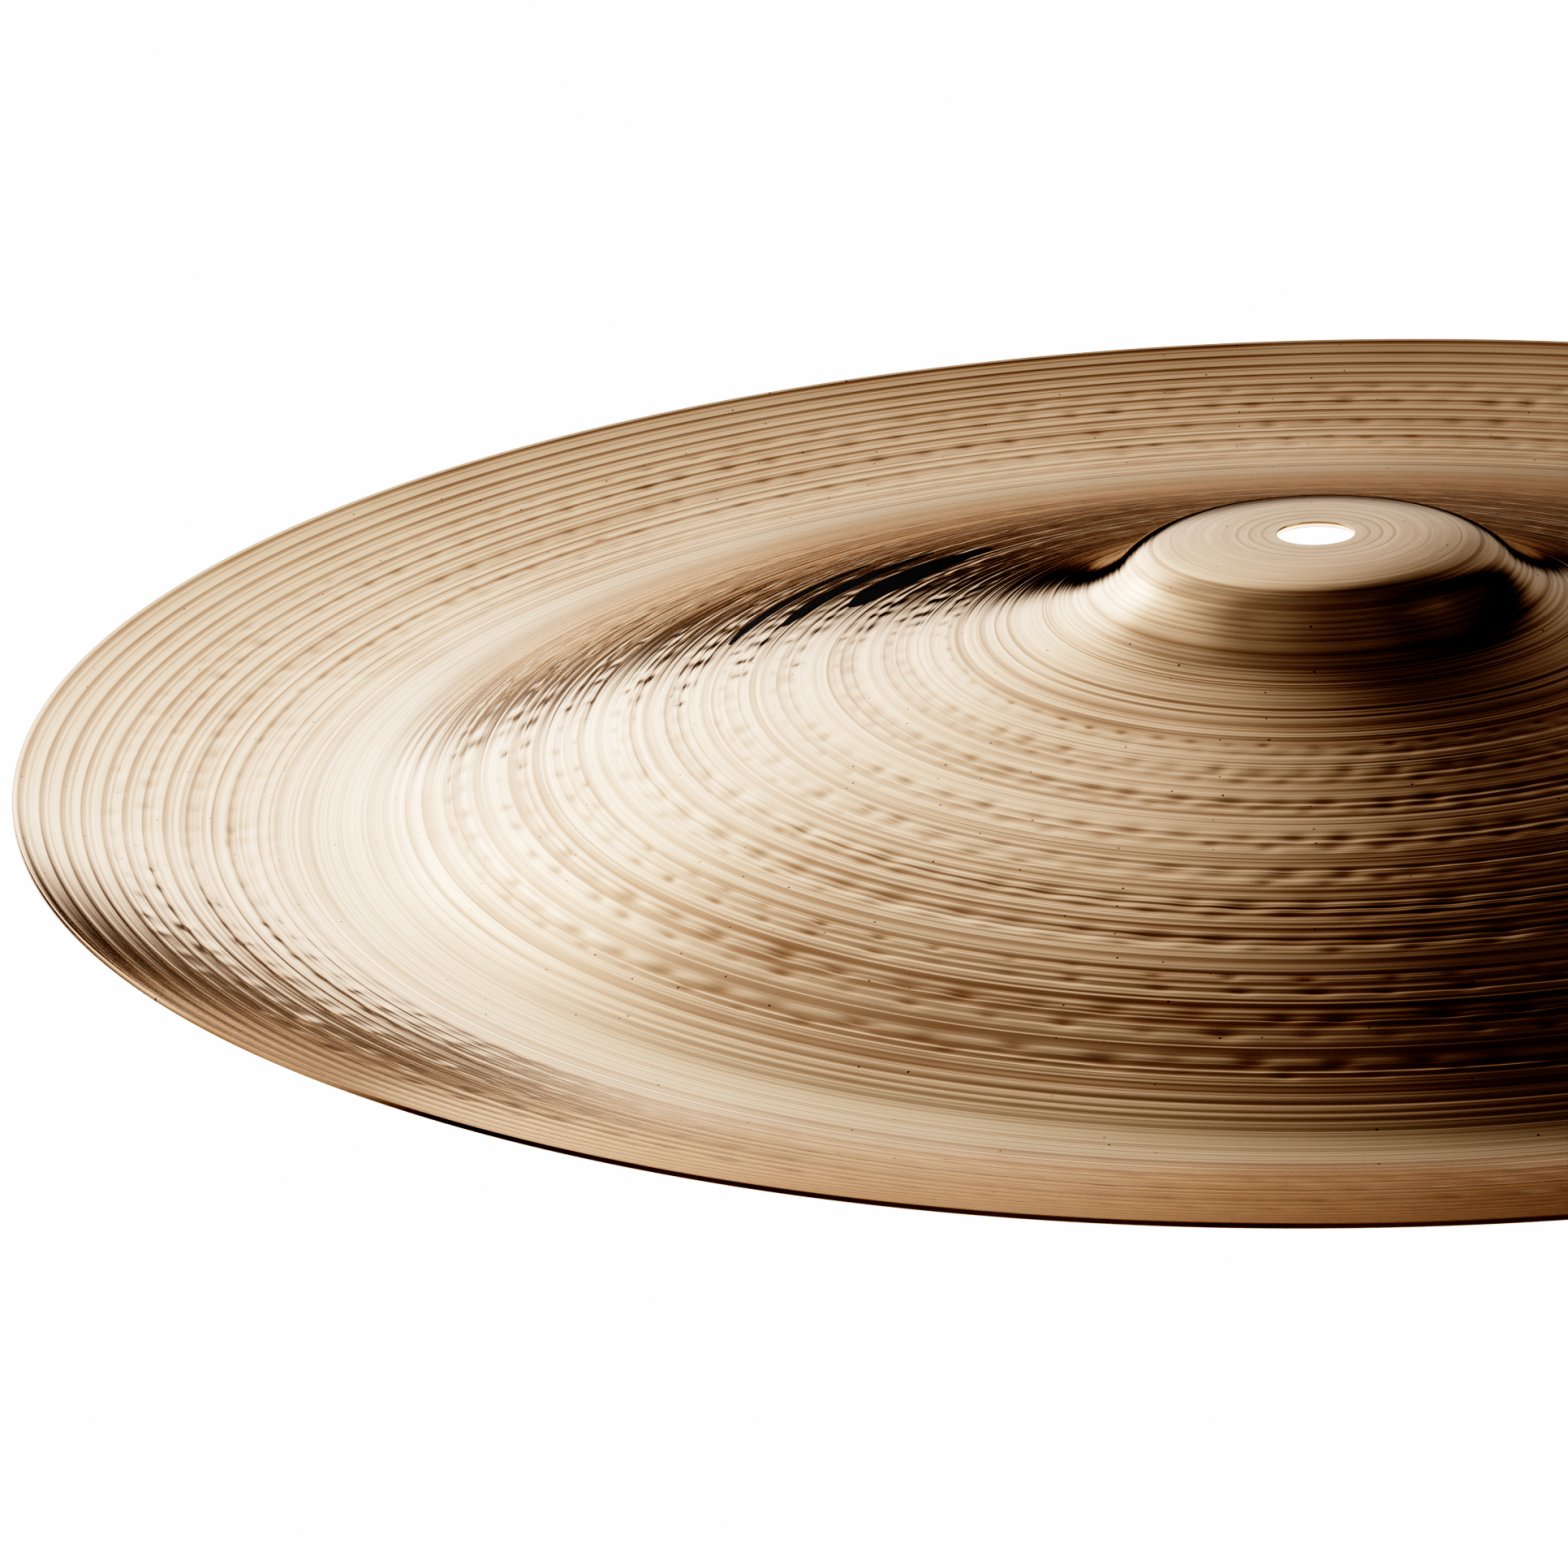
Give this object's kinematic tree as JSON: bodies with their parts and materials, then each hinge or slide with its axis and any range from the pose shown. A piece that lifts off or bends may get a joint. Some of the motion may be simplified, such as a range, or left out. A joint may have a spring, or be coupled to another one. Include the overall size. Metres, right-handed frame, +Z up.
{
  "type": "china cymbal",
  "caption": "Thin round bronze cymbal with a raised bell, a sloping hammered bow, an upturned flange and a stand hole through the middle of the bell.",
  "frame": {"origin": "on the axis of the stand hole, level with the lowest ring, where the bow bends into the flange and the cymbal lies on a flat surface", "axes": "+Z up the axis of the stand hole, out through the top of the bell; the cymbal is a body of revolution, so X and Y are free"},
  "size_m": [0.4572, 0.4572, 0.0409],
  "materials": {
    "bronze": "lathe-turned and hammered cymbal bronze, satin with fine rings",
    "print_ink": "thin matt black printed ink"
  },
  "bodies": {
    "root": {"cymbal": "bronze"}
  },
  "joints": []
}
